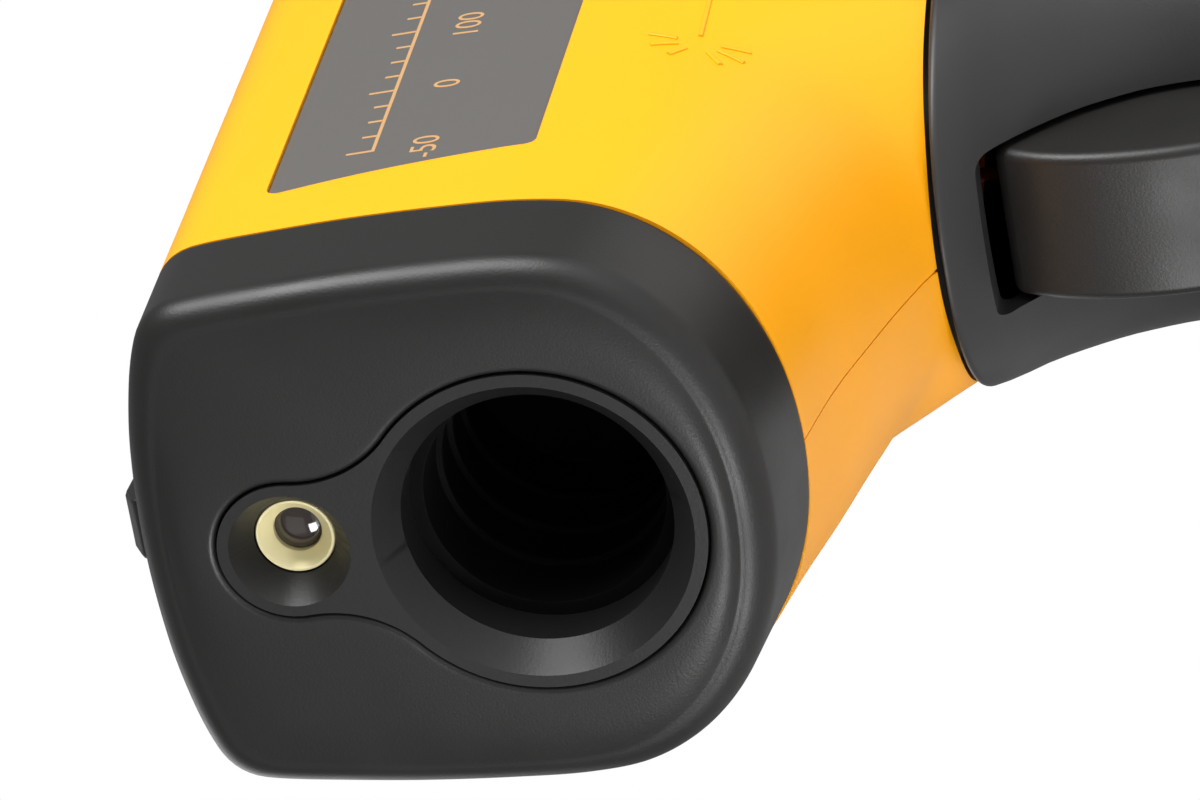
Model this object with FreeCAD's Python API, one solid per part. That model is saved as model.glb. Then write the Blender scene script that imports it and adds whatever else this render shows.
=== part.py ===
"""Handheld infrared thermometer, pistol form, with a sprung trigger and a laser pointer.

Every solid is drawn in the sensor's frame: x across, y back from the rim of the sensor's
aperture, z up from the infrared axis. save() then moves it into the part's own frame, whose
origin is the middle of the handle's flat base, with the nose towards -Y and +Z up.
"""
import FreeCAD, Part
import math
import os

from FreeCAD import Vector as V

# Driving dimensions, millimetres.
AXIS_HEIGHT = 121.0        # infrared axis above the flat base
BASE_DEPTH = 80.2          # middle of the base behind the aperture's rim
HALF_WIDTH = 21.2          # widest point of the body, where the side turns into the belly
CROWN = 29.4               # top of the body
SHOULDER = -0.8            # height where the side turns into the belly
WALL = 2.2                 # thickness of the moulded shells
FACE = -2.3                # front face of the nose
CAP_END = 9.0              # back edge of the nose cap
CAP_EDGE = 2.4             # its soft front edge
CAP_BELLY = -16.9          # its underside at the face
CAP_DRAFT = 1.7            # how much lower it is at its back edge
NECK = -25.5               # flat joint between the shells and the grip
LIP_GAP = 0.4              # groove between the shells and the grip
BASE = -AXIS_HEIGHT        # the flat base
CAP_THICKNESS = 2.0        # base cap

# The belly's height at some depths along the body, on the middle plane.
BELLY = [(8, (-18.4,)), (16.6, (-19.9,)), (23.5, (-21.7,)), (29.7, (-23.5,)), (35, (-25.4,)),
         (38.5, (-27.6,)), (44, (-33.5,)), (52, (-41,)), (62, (-45,)), (72, (-42,)), (79, (-35,)),
         (85, (-27,)), (91, (-19,)), (98, (-12,))]
BELLY_STEP = 3.0

# Exponent of the belly's curve at some depths; 2 is an ellipse and more is squarer.
CAP_ROUND = 2.1
ROUNDING = [(8, (2.15,)), (20, (2.3,)), (30, (2.2,)), (38, (2.05,)), (46, (2.0,)), (54, (2.03,)),
            (62, (2.15,)), (75, (2.5,)), (86, (2.6,)), (98, (2.6,))]

# The grip at some depths below the axis: front, back and half width.
GRIP = [(25, (34.0, 86.7, 18.4)), (28, (37.4, 86.3, 18.5)), (30.5, (41.0, 85.9, 18.5)),
        (33.8, (44.6, 85.4, 18.5)), (37, (47.2, 85.2, 18.4)), (42, (49.6, 85.2, 18.2)),
        (50, (50.6, 86.3, 18.0)), (58, (50.8, 87.6, 17.8)), (70, (51.6, 90.0, 17.8)),
        (85, (54.1, 93.2, 18.0)), (100, (56.9, 96.2, 18.2)), (119, (60.8, 99.6, 18.4))]
GRIP_STEP = 3.0
GRIP_ROUND = [(25, (2.15,)), (34, (2.45,)), (45, (3.0,)), (60, (3.5,)), (119, (3.5,))]  # exponent
GRIP_WALL = 2.4

# Nose insert, aperture and laser.
RIM_R = 10.0               # aperture at its rim
BEVEL_R = 11.8             # aperture's bevel at the front face
STEP_R = 8.9               # bore behind the step
STEP_DEPTH = 3.6
BARREL_R = 11.0
LASER_HEIGHT = 18.06
LASER_R = 3.0
DISH_R = 4.5
POCKET_BIG = 12.85         # keyhole outline of the cap's pocket: round the aperture
POCKET_SMALL = 5.45        # and round the laser
POCKET_GAP = 0.1           # between the pocket and the insert
POCKET_EDGE = 0.55         # soft edges on both sides of the gap
NECK_R = 9.0               # concave fillets of the keyhole

# Rear display face.
DISPLAY_TILT = 18.0
DISPLAY_DEPTH = 85.0
DISPLAY_HEIGHT = 7.5
WINDOW = (-14.5, -1.5, 14.5, 17.5)
BUTTON_X = [-10.0, 0.0, 10.0]
BUTTON_Y = -11.0
BUTTON_HALF = (3.6, 2.6)
BUTTON_GAP = 0.3

# Trigger.
TRIGGER_PIVOT = (54.0, -34.0)
TRIGGER_HALF = 6.2
SLOT_HALF = 7.0
SLOT_TOP = -28.6
SLOT_BOTTOM = -62.0
PIN_R = 1.5
RUNNING = 0.05             # radial clearance of a running fit

# Handle frame: its origin is on the middle of the grip's front, leaning with the handle.
LEAN = 10.3
HANDLE_DEPTH = 55.0
HANDLE_HEIGHT = -90.0
DOOR_HALF = 11.0
DOOR_TOP = 27.0
DOOR_HINGE = (3.2, -21.3)
DOOR_GAP = 0.3
HINGE_PIN_R = 1.0
CELL_R = 5.25
CELL_LENGTH = 44.5
CELL_X = 5.6
CELL_Y = 12.2
CELL_BOTTOM = -18.6

DISPLAY = FreeCAD.Placement(
    V(0, DISPLAY_DEPTH, DISPLAY_HEIGHT),
    FreeCAD.Rotation(V(0, 0, 1), 180) * FreeCAD.Rotation(V(1, 0, 0), 90 - DISPLAY_TILT))
HANDLE = FreeCAD.Placement(
    V(0, HANDLE_DEPTH, HANDLE_HEIGHT), FreeCAD.Rotation(V(1, 0, 0), LEAN))
FAR = 200.0


def save(name, shape):
    """Move a shape into the part's own frame and write it."""
    out = shape.copy()
    out.translate(V(0, -BASE_DEPTH, AXIS_HEIGHT))
    if not out.isValid():
        print("invalid shape:", name)
    out.exportStep("parts/%s.step" % name)


def placed(shape, placement):
    """A copy of a shape drawn in the display's or the handle's frame, in the sensor's frame."""
    out = shape.copy()
    out.Placement = placement.multiply(out.Placement)
    return out


def box(x0, y0, z0, x1, y1, z1):
    return Part.makeBox(x1 - x0, y1 - y0, z1 - z0, V(x0, y0, z0))


def rod(r, start, end):
    """A cylinder from one point to another."""
    a = V(*start)
    b = V(*end)
    return Part.makeCylinder(r, (b - a).Length, a, b - a)


def cone(r0, r1, start, end):
    a = V(*start)
    b = V(*end)
    return Part.makeCone(r0, r1, (b - a).Length, a, b - a)


def tube(r_out, r_in, start, end):
    return rod(r_out, start, end).cut(rod(r_in, start, end))


def slab(x0, y0, x1, y1, z0, z1, r):
    """A plate with its four upright edges rounded."""
    plate = box(x0, y0, z0, x1, y1, z1)
    upright = [e for e in plate.Edges if abs(e.tangentAt(e.FirstParameter).z) > 0.9]
    return plate.makeFillet(r, upright)


def profile_along_x(points, half):
    """A closed side outline in y and z, swept across from -half to half."""
    wire = Part.makePolygon([V(-half, y, z) for y, z in points + points[:1]])
    return Part.Face(wire).extrude(V(2 * half, 0, 0))


def knots_of(points, closed=False):
    """Distances along a line through points, used as the knots of every section alike."""
    knots = [0.0]
    for a, b in zip(points, points[1:] + (points[:1] if closed else [])):
        knots.append(knots[-1] + a.distanceToPoint(b))
    return knots


def curve(points, knots=None, closed=False):
    """A spline through points; sections of one loft share their knots, so it stays smooth."""
    spline = Part.BSplineCurve()
    spline.interpolate(points, PeriodicFlag=closed, Parameters=knots or knots_of(points, closed))
    return spline.toShape()


def along(table, at):
    """The values of a table at one place, on a smooth curve through its rows."""
    places = [row[0] for row in table]
    i = min(max(sum(1 for p in places if p <= at) - 1, 0), len(table) - 2)
    share = (at - places[i]) / (places[i + 1] - places[i])
    values = []
    for k in range(len(table[0][1])):
        slopes = []
        for j in (i, i + 1):
            low = max(j - 1, 0)
            high = min(j + 1, len(table) - 1)
            slopes.append((table[high][1][k] - table[low][1][k]) / (places[high] - places[low]))
        step = places[i + 1] - places[i]
        s2 = share ** 2
        s3 = share ** 3
        values.append(table[i][1][k] * (2 * s3 - 3 * s2 + 1) + slopes[0] * step * (s3 - 2 * s2 + share)
                      + table[i + 1][1][k] * (3 * s2 - 2 * s3) + slopes[1] * step * (s3 - s2))
    return values


def evenly(start, end, step):
    """Places from start to end, about a step apart."""
    count = max(round((end - start) / step), 1)
    return [start + (end - start) * i / count for i in range(count + 1)]


# Body outline -----------------------------------------------------------------------------

def body_points(belly, rounding):
    """Right half of the body's section, from the belly's middle round to the crown's middle."""
    drop = SHOULDER - belly
    points = []
    for step in range(7):
        a = math.radians(15 * step)
        x = HALF_WIDTH * math.sin(a) ** (2 / rounding)
        z = SHOULDER - drop * math.cos(a) ** (2 / rounding)
        points.append((x, z))
    w = HALF_WIDTH
    points += [(w, 5.0), (w - 0.3, 12.0), (w - 0.85, 18.5), (w - 1.3, 22.6), (w - 1.75, 24.6),
               (w - 2.7, 26.0), (w - 4.3, 27.0), (w - 8, 28.1), (w - 13.5, 29.0), (0, CROWN)]
    return points


def inset_points(points, inset):
    """The same half outline moved inwards; both ends stay on the middle plane."""
    moved = []
    last = len(points) - 1
    for i, (x, z) in enumerate(points):
        before = points[max(i - 1, 0)]
        after = points[min(i + 1, last)]
        if i in (0, last):
            normal = (0, -1) if i == 0 else (0, 1)
        else:
            dx = after[0] - before[0]
            dz = after[1] - before[1]
            length = math.hypot(dx, dz)
            normal = (dz / length, -dx / length)
        moved.append((x - normal[0] * inset, z - normal[1] * inset))
    return moved


def half_wire(depth, belly, rounding, inset):
    """Closed outline of the right half of one section."""
    points = inset_points(body_points(belly, rounding), inset)
    vectors = [V(x, depth, z) for x, z in points]
    return closed_half(vectors)


def closed_half(vectors):
    """The outline of a right half, closed along the middle plane."""
    knots = knots_of([V(x, 0, z) for x, z in body_points(CAP_BELLY, CAP_ROUND)])
    return Part.Wire([curve(vectors, knots), Part.makeLine(vectors[-1], vectors[0])])


def body_half(inset):
    """The right half of the body's outer form, moved inwards by inset, as one solid."""
    wires = []
    for depth in evenly(BELLY[0][0], BELLY[-1][0], BELLY_STEP):
        rounding = along(ROUNDING, depth)[0]
        wires.append(half_wire(depth, along(BELLY, depth)[0], rounding, inset))
    return Part.makeLoft(wires, True, False)


def cap_half(inset, front, edge):
    """The right half of the nose cap's form, with its front edge rounded over by edge."""
    rings = []
    for turn in (0, 22.5, 45, 67.5):
        a = math.radians(turn)
        rings.append((front + edge * (1 - math.cos(a)), inset + edge * (1 - math.sin(a))))
    for depth in evenly(front + edge, CAP_END, 2.0):
        rings.append((depth, inset))
    outlines = []
    for depth, smaller in rings:
        belly = CAP_BELLY - CAP_DRAFT * (depth - FACE) / (CAP_END - FACE)
        middle = (CROWN + belly) / 2
        narrow = 1 - smaller / HALF_WIDTH
        low = 1 - smaller / (CROWN - middle)
        outlines.append(closed_half([V(x * narrow, depth, middle + (z - middle) * low)
                                     for x, z in body_points(belly, CAP_ROUND)]))
    return Part.makeLoft(outlines, True, True)


def mirrored(shape):
    return shape.mirror(V(0, 0, 0), V(1, 0, 0))


def both_halves(half):
    return half.fuse(mirrored(half)).removeSplitter()


def behind_display(low, high):
    """The layer between two heights above the display face."""
    return placed(box(-FAR, -FAR, low, FAR, FAR, high), DISPLAY)


# Grip outline -----------------------------------------------------------------------------

def grip_form(inset, top=GRIP[0][0]):
    """The grip's outer form moved inwards by inset."""
    wires = []
    knots = None
    for drop in evenly(top, GRIP[-1][0], GRIP_STEP):
        front, back, half = along(GRIP, drop)
        power = 2 / along(GRIP_ROUND, drop)[0]
        z = -drop
        middle = (front + back) / 2
        reach = (back - front) / 2 - inset
        width = half - inset
        points = []
        for step in range(32):
            a = 2 * math.pi * step / 32 + math.pi
            s = math.sin(a)
            c = math.cos(a)
            x = width * math.copysign(abs(s) ** power, s)
            y = middle - reach * math.copysign(abs(c) ** power, c)
            points.append(V(x, y, z))
        knots = knots or knots_of(points, closed=True)
        wires.append(Part.Wire([curve(points, knots, closed=True)]))
    return Part.makeLoft(wires, True, False)


# Keyhole outline --------------------------------------------------------------------------

def keyhole(big, small, y0, y1):
    """Two discs, one round the aperture and one round the laser, joined by concave fillets."""
    reach_big = big + NECK_R
    reach_small = small + NECK_R
    d = LASER_HEIGHT
    up = (reach_big ** 2 - reach_small ** 2 + d ** 2) / (2 * d)
    out = math.sqrt(reach_big ** 2 - up ** 2)
    low = V(out * big / reach_big, y0, up * big / reach_big)
    high_z = d + (up - d) * small / reach_small
    high = V(out * small / reach_small, y0, high_z)
    towards = V(-out, 0, (low.z + high.z) / 2 - up)
    towards.normalize()
    waist = V(out, y0, up) + towards * NECK_R

    def flip(p):
        return V(-p.x, p.y, p.z)

    edges = [Part.Arc(flip(low), V(0, y0, -big), low).toShape(),
             Part.Arc(low, waist, high).toShape(),
             Part.Arc(high, V(0, y0, d + small), flip(high)).toShape(),
             Part.Arc(flip(high), flip(waist), flip(low)).toShape()]
    return Part.Face(Part.Wire(edges)).extrude(V(0, y1 - y0, 0))


# Side label outline -----------------------------------------------------------------------

LABEL = [(13.9, 20.5), (17.5, -1.7), (66.0, -1.7), (70.0, 20.5)]
LABEL_DEPTH = 0.25
LABEL_THICK = 0.4
LABEL_R = 2.2


def label_prism(grow):
    """The label's outline swept out sideways; grow widens it all round."""
    (y0, z0), (y1, z1), (y2, z2), (y3, z3) = LABEL
    points = [(y0 - grow, z0 + grow), (y1 - grow, z1 - grow),
              (y2 + grow, z2 - grow), (y3 + grow, z3 + grow)]
    wire = Part.makePolygon([V(10, y, z) for y, z in points + points[:1]])
    prism = Part.Face(wire).extrude(V(20, 0, 0))
    across = [e for e in prism.Edges if abs(e.tangentAt(e.FirstParameter).x) > 0.9]
    return prism.makeFillet(LABEL_R, across)


# Shells -----------------------------------------------------------------------------------

BOSSES = [(31.0, -16.4), (47.0, -19.0), (71.0, -20.0)]
BOSS_R = 3.2
SCREW_R = 1.1
HEAD_R = 2.3
HEAD_AT = 12.0


def shell_half(form, cavity):
    """One shell on the +x side, with its label recess and screw bosses."""
    above_neck = box(-FAR, CAP_END, NECK, FAR, FAR, FAR)
    shell = form.cut(cavity).common(above_neck).cut(behind_display(0, FAR))
    recess = form.cut(body_half(LABEL_DEPTH + LABEL_THICK)).common(label_prism(0.1))
    shell = shell.cut(recess)
    inner = cavity.common(above_neck)
    for y, z in BOSSES:
        boss = rod(BOSS_R, (0, y, z), (HALF_WIDTH, y, z)).common(inner)
        shell = shell.fuse(boss)
    return shell


def make_shells():
    form = body_half(0)
    cavity = body_half(WALL)
    half = shell_half(form, cavity)
    right = half
    left = mirrored(half)
    screws = []
    for y, z in BOSSES:
        right = right.cut(rod(SCREW_R + 0.02, (-1, y, z), (10.5, y, z)))
        left = left.cut(rod(SCREW_R + 0.2, (1, y, z), (-HEAD_AT - 0.2, y, z)))
        left = left.cut(rod(HEAD_R + 0.3, (-HEAD_AT, y, z), (-FAR, y, z)))
        shank = rod(SCREW_R, (10, y, z), (-HEAD_AT, y, z))
        head = rod(HEAD_R, (-HEAD_AT, y, z), (-HEAD_AT - 1.8, y, z))
        slot = box(-HEAD_AT - 2, y - 1.5, z - 0.25, -HEAD_AT - 1.2, y + 1.5, z + 0.25)
        cross = box(-HEAD_AT - 2, y - 0.25, z - 1.5, -HEAD_AT - 1.2, y + 0.25, z + 1.5)
        screws.append(shank.fuse(head).cut(slot).cut(cross))
    save("body_shell_right", right.removeSplitter())
    save("body_shell_left", left.removeSplitter())
    save("shell_screws", Part.makeCompound(screws))

    layer = body_half(LABEL_DEPTH).cut(body_half(LABEL_DEPTH + LABEL_THICK))
    label = layer.common(label_prism(0))
    save("side_label_right", label)
    save("side_label_left", mirrored(label))


# Nose -------------------------------------------------------------------------------------

CAP_PLATE = 2.6            # thickness of the cap's front wall


def on_face(shape):
    """The edges that lie in the nose's front face."""
    return [e for e in shape.Edges
            if abs(e.BoundBox.YMin - FACE) < 0.01 and abs(e.BoundBox.YMax - FACE) < 0.01]


def make_nose():
    outer = both_halves(cap_half(0, FACE, CAP_EDGE))
    hollow = both_halves(cap_half(WALL, FACE + CAP_PLATE, 0.8))
    cap = outer.cut(hollow).cut(keyhole(POCKET_BIG, POCKET_SMALL, FACE - 1, FACE + 4))
    inner_edges = [e for e in on_face(cap) if e.CenterOfMass.Length < POCKET_BIG + LASER_HEIGHT
                   and abs(e.BoundBox.XMin) < POCKET_BIG + 0.1 and e.BoundBox.ZMax < LASER_HEIGHT + 6]
    cap = cap.makeFillet(POCKET_EDGE, inner_edges)
    save("nose_cap", cap)

    plate = keyhole(POCKET_BIG - POCKET_GAP, POCKET_SMALL - POCKET_GAP, FACE, FACE + 2.6)
    plate = plate.makeFillet(POCKET_EDGE, on_face(plate))
    aperture_tube = rod(BARREL_R + 1.3, (0, FACE + 2.6, 0), (0, 7.5, 0))
    laser_tube = rod(POCKET_SMALL - 1.1, (0, FACE + 2.6, LASER_HEIGHT), (0, 5, LASER_HEIGHT))
    insert = plate.fuse(aperture_tube).fuse(laser_tube)
    insert = insert.cut(cone(BEVEL_R, RIM_R, (0, FACE, 0), (0, 0, 0)))
    insert = insert.cut(rod(RIM_R, (0, 0, 0), (0, STEP_DEPTH, 0)))
    insert = insert.cut(rod(BARREL_R + 0.05, (0, STEP_DEPTH, 0), (0, 10, 0)))
    dish = cone(DISH_R, LASER_R + 0.05, (0, FACE, LASER_HEIGHT), (0, 0, LASER_HEIGHT))
    bore = rod(LASER_R + 0.05, (0, FACE, LASER_HEIGHT), (0, 8, LASER_HEIGHT))
    insert = insert.cut(dish).cut(bore)
    save("nose_insert", insert.removeSplitter())


# Optics -----------------------------------------------------------------------------------

BARREL_END = 32.0
LENS_DEPTH = 24.0
BOARD_DEPTH = 40.0


def make_optics():
    barrel = tube(BARREL_R, STEP_R, (0, STEP_DEPTH, 0), (0, BARREL_END, 0))
    for baffle in (9.0, 14.0, 19.0):
        barrel = barrel.fuse(tube(BARREL_R, STEP_R - 0.5, (0, baffle, 0), (0, baffle + 0.6, 0)))
    barrel = barrel.fuse(tube(BARREL_R, 7.6, (0, LENS_DEPTH + 1.6, 0), (0, LENS_DEPTH + 3, 0)))
    save("optics_barrel", barrel.removeSplitter())
    dome = Part.makeSphere(26, V(0, LENS_DEPTH + 25.4, 0))
    lens = rod(STEP_R - 0.02, (0, LENS_DEPTH - 0.6, 0), (0, LENS_DEPTH + 1.6, 0)).common(dome)
    save("infrared_lens", lens)

    can = rod(4.1, (0, BOARD_DEPTH - 4.5, 0), (0, BOARD_DEPTH - 0.6, 0))
    can = can.fuse(rod(4.6, (0, BOARD_DEPTH - 0.6, 0), (0, BOARD_DEPTH, 0)))
    can = can.cut(rod(2.4, (0, BOARD_DEPTH - 5, 0), (0, BOARD_DEPTH - 4.2, 0)))
    save("thermopile_sensor", can.removeSplitter())
    filter_window = rod(2.38, (0, BOARD_DEPTH - 4.5, 0), (0, BOARD_DEPTH - 4.2, 0))
    save("sensor_filter", filter_window)
    board = box(-13, BOARD_DEPTH, -12, 13, BOARD_DEPTH + 1.6, 11)
    save("sensor_board", board)
    ring = tube(BARREL_R + 1.4, BARREL_R + 0.04, (0, 22, 0), (0, BOARD_DEPTH, 0))
    ring = ring.common(box(-FAR, 22, -FAR, FAR, BOARD_DEPTH, FAR))
    save("sensor_mount", ring)


def make_laser():
    z = LASER_HEIGHT
    body = rod(LASER_R, (0, 0.1, z), (0, 13, z))
    body = body.cut(cone(2.6, 1.8, (0, 0.1, z), (0, 1.1, z)))
    body = body.cut(rod(1.8, (0, 1.1, z), (0, 6, z)))
    save("laser_module", body)
    dome = Part.makeSphere(4.0, V(0, 5.2, z))
    lens = rod(1.78, (0, 1.2, z), (0, 2.6, z)).common(dome)
    save("laser_lens", lens)
    block = box(-5.5, 8, BARREL_R - 0.5, 5.5, 12, 22.6)
    block = block.cut(rod(BARREL_R + 0.04, (0, 7, 0), (0, 13, 0)))
    block = block.cut(rod(LASER_R + 0.02, (0, 7, z), (0, 13, z)))
    save("laser_holder", block)
    save("laser_board", slab_board(z))


def slab_board(z):
    """Small driver board soldered across the back of the laser module."""
    return box(-3.2, 13, z - 3.2, 3.2, 14, z + 3.2)


# Display ----------------------------------------------------------------------------------

BEZEL_GAP = 0.1
BEZEL_BACK = -3.0
BEZEL_PROUD = 0.9
PANE_TOP = -0.7
BOARD_TOP = -8.6
POSTS = [(-14.9, -16.0), (14.9, -16.0)]


def make_display():
    x0, y0, x1, y1 = WINDOW
    inner = both_halves(body_half(WALL + BEZEL_GAP))
    panel = inner.common(behind_display(BEZEL_BACK, BEZEL_PROUD))
    panel = panel.cut(placed(slab(x0, y0, x1, y1, -5, 5, 1.5), DISPLAY))
    panel = panel.cut(placed(box(x0 - 1.1, y0 - 1.1, -5, x1 + 1.1, y1 + 1.1, PANE_TOP), DISPLAY))
    hx, hy = BUTTON_HALF
    for x in BUTTON_X:
        hole = slab(x - hx - BUTTON_GAP, BUTTON_Y - hy - BUTTON_GAP,
                    x + hx + BUTTON_GAP, BUTTON_Y + hy + BUTTON_GAP, -5, 5, 1.6)
        panel = panel.cut(placed(hole, DISPLAY))
    save("rear_bezel", panel)

    pane = box(x0 - 1, y0 - 1, PANE_TOP - 1.2, x1 + 1, y1 + 1, PANE_TOP)
    save("display_window", placed(pane, DISPLAY))
    glass = box(x0 - 0.4, y0 - 0.4, -4.2, x1 + 0.4, y1 + 0.4, -2.2)
    save("lcd_glass", placed(glass, DISPLAY))
    light = box(x0, y0 + 1.6, -7.0, x1, y1 - 0.2, -4.3)
    save("lcd_backlight", placed(light, DISPLAY))
    strip = box(x0 + 1, y0, BOARD_TOP, x1 - 1, y0 + 1.2, -4.2)
    save("lcd_contact_strip", placed(strip, DISPLAY))
    outer = box(x0 - 2.0, y0 - 1.9, BOARD_TOP, x1 + 2.0, y1 + 1.4, BEZEL_BACK)
    ring = outer.cut(box(x0 - 0.5, y0 - 0.5, -9, x1 + 0.5, y1 + 0.5, 0))
    save("display_frame", placed(ring, DISPLAY))
    board = box(-16.5, -17.5, BOARD_TOP - 1.6, 16.5, 19.6, BOARD_TOP)
    for x, y in POSTS:
        board = board.cut(rod(0.9, (x, y, -FAR), (x, y, 0)))
    save("main_board", placed(board, DISPLAY))
    screws = []
    posts = []
    for x, y in POSTS:
        head = rod(1.7, (x, y, BOARD_TOP - 2.6), (x, y, BOARD_TOP - 1.6))
        shank = rod(0.8, (x, y, BOARD_TOP - 1.6), (x, y, -5))
        screws.append(placed(head.fuse(shank), DISPLAY))
        post = tube(1.4, 0.82, (x, y, BOARD_TOP), (x, y, BEZEL_BACK))
        posts.append(placed(post, DISPLAY))
    save("board_screws", Part.makeCompound(screws))
    save("board_posts", Part.makeCompound(posts))

    switches = []
    for x, name in zip(BUTTON_X, ("left", "middle", "right")):
        cap = slab(x - hx, BUTTON_Y - hy, x + hx, BUTTON_Y + hy, BEZEL_BACK - 0.1, 1.6, 1.4)
        cap = cap.makeFillet(0.5, [e for e in cap.Edges if e.CenterOfMass.z > 1.59])
        flange = slab(x - hx - 0.8, BUTTON_Y - hy - 0.8, x + hx + 0.8, BUTTON_Y + hy + 0.8,
                      BEZEL_BACK - 1.1, BEZEL_BACK - 0.1, 1.4)
        save("button_" + name, placed(cap.fuse(flange).removeSplitter(), DISPLAY))
        can = box(x - 3, BUTTON_Y - 3, BOARD_TOP, x + 3, BUTTON_Y + 3, -6.4)
        can = can.fuse(rod(1.6, (x, BUTTON_Y, -6.4), (x, BUTTON_Y, -5.1)))
        switches.append(placed(can, DISPLAY))
    save("button_switches", Part.makeCompound(switches))
    buzzer = rod(4.4, (9, 4, BOARD_TOP - 5), (9, 4, BOARD_TOP - 1.6))
    buzzer = buzzer.cut(rod(1, (9, 4, BOARD_TOP - 6), (9, 4, BOARD_TOP - 4)))
    save("buzzer", placed(buzzer, DISPLAY))
    chip = box(-9, -8, BOARD_TOP - 3.2, -1, 0, BOARD_TOP - 1.6)
    save("processor_chip", placed(chip, DISPLAY))


# Grip -------------------------------------------------------------------------------------

CAVITY_TOP = 30.0          # depth below the axis where the grip's hollow starts
FOOT_SCREW_X = 10.0
POST_BOTTOM = BASE + CAP_THICKNESS + 2.7
POST_TOP = BASE + 9.5


def door_cut(gap):
    """The space of the door in the grip's front wall, in the handle's frame."""
    y, z = DOOR_HINGE
    upper = box(-DOOR_HALF - gap, -6, z, DOOR_HALF + gap, 6.6, DOOR_TOP + gap)
    barrel = rod(y + gap, (-DOOR_HALF - gap, y, z), (DOOR_HALF + gap, y, z))
    front = box(-DOOR_HALF - gap, -6, z - y - gap, DOOR_HALF + gap, y, z)
    return upper, barrel, front


def make_grip():
    cover_top = NECK - LIP_GAP
    outer = grip_form(0)
    outer = outer.cut(box(-FAR, -FAR, cover_top, FAR, FAR, FAR))
    sleeve = outer.cut(grip_form(GRIP_WALL, CAVITY_TOP))
    throat = both_halves(body_half(WALL + 1.7)).common(box(-FAR, 0, -31, FAR, FAR, cover_top + 6))
    sleeve = sleeve.cut(throat)
    spigot = both_halves(body_half(WALL + 0.1)).cut(both_halves(body_half(WALL + 1.7)))
    spigot = spigot.common(box(-FAR, 36, cover_top, FAR, 84, cover_top + 5))
    for y, z in BOSSES:
        spigot = spigot.cut(rod(BOSS_R + 0.3, (-FAR, y, z), (FAR, y, z)))
    sleeve = sleeve.fuse(spigot)

    for side in (-1, 1):
        x = side * FOOT_SCREW_X
        post = box(min(x, side * 17) - 3, BASE_DEPTH - 3, POST_BOTTOM,
                   max(x, side * 17) + 3, BASE_DEPTH + 3, POST_TOP)
        sleeve = sleeve.fuse(post.common(grip_form(GRIP_WALL / 2)))
        sleeve = sleeve.cut(rod(1.12, (x, BASE_DEPTH, BASE), (x, BASE_DEPTH, BASE + 9.2)))

    slot = slab(-SLOT_HALF, SLOT_BOTTOM, SLOT_HALF, SLOT_TOP, 30, 58, 1.2)
    slot.rotate(V(0, 0, 0), V(1, 0, 0), 90)
    slot.translate(V(0, 88, 0))
    sleeve = sleeve.cut(slot)
    upper, barrel, front = door_cut(DOOR_GAP)
    for piece in (upper, barrel, front):
        sleeve = sleeve.cut(placed(piece, HANDLE))
    y, z = DOOR_HINGE
    sleeve = sleeve.cut(placed(rod(HINGE_PIN_R + 0.02, (-13.4, y, z), (13.4, y, z)), HANDLE))
    save("grip_sleeve", sleeve.removeSplitter())

    upper, barrel, _ = door_cut(0)
    skin = grip_form(0).cut(grip_form(GRIP_WALL, CAVITY_TOP))
    panel = skin.common(placed(upper, HANDLE))
    knuckle = placed(barrel, HANDLE).common(grip_form(0))
    door = panel.fuse(knuckle)
    finger = Part.makeSphere(5, V(0, -2.8, DOOR_TOP - 5))
    door = door.cut(placed(finger, HANDLE))
    door = door.cut(placed(rod(HINGE_PIN_R + RUNNING, (-FAR, y, z), (FAR, y, z)), HANDLE))
    save("battery_door", door.removeSplitter())
    save("door_hinge_pin", placed(rod(HINGE_PIN_R, (-13.3, y, z), (13.3, y, z)), HANDLE))

    plug = grip_form(GRIP_WALL + 0.1).common(
        box(-FAR, -FAR, BASE + CAP_THICKNESS, FAR, FAR, BASE + CAP_THICKNESS + 2.6))
    hollow = grip_form(GRIP_WALL + 2).common(
        box(-FAR, -FAR, BASE + CAP_THICKNESS, FAR, FAR, BASE + 10))
    front_y, back_y, half = GRIP[-1][1]
    foot = slab(-half + 0.4, front_y + 0.4, half - 0.4, back_y - 0.4, BASE, BASE + CAP_THICKNESS, 8)
    cap = foot.fuse(plug.cut(hollow))
    screws = []
    for x in (-FOOT_SCREW_X, FOOT_SCREW_X):
        y = BASE_DEPTH
        cap = cap.cut(rod(1.3, (x, y, BASE - 1), (x, y, BASE + 9)))
        countersink = cone(2.4, 1.3, (x, y, BASE), (x, y, BASE + 1.2))
        cap = cap.cut(countersink)
        head = countersink.common(box(x - 3, y - 3, BASE + 0.15, x + 3, y + 3, BASE + 2))
        head = head.cut(box(x - 1.5, y - 0.25, BASE, x + 1.5, y + 0.25, BASE + 0.7))
        head = head.cut(box(x - 0.25, y - 1.5, BASE, x + 0.25, y + 1.5, BASE + 0.7))
        screws.append(head.fuse(rod(1.1, (x, y, BASE + 1.0), (x, y, BASE + 9))))
    save("base_cap", cap.removeSplitter())
    save("base_screws", Part.makeCompound(screws))


# Battery tray -----------------------------------------------------------------------------

TRAY_HALF = 12.6
TRAY_FRONT = 7.2
TRAY_BACK = 19.4
TRAY_WALL = 1.4


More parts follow.
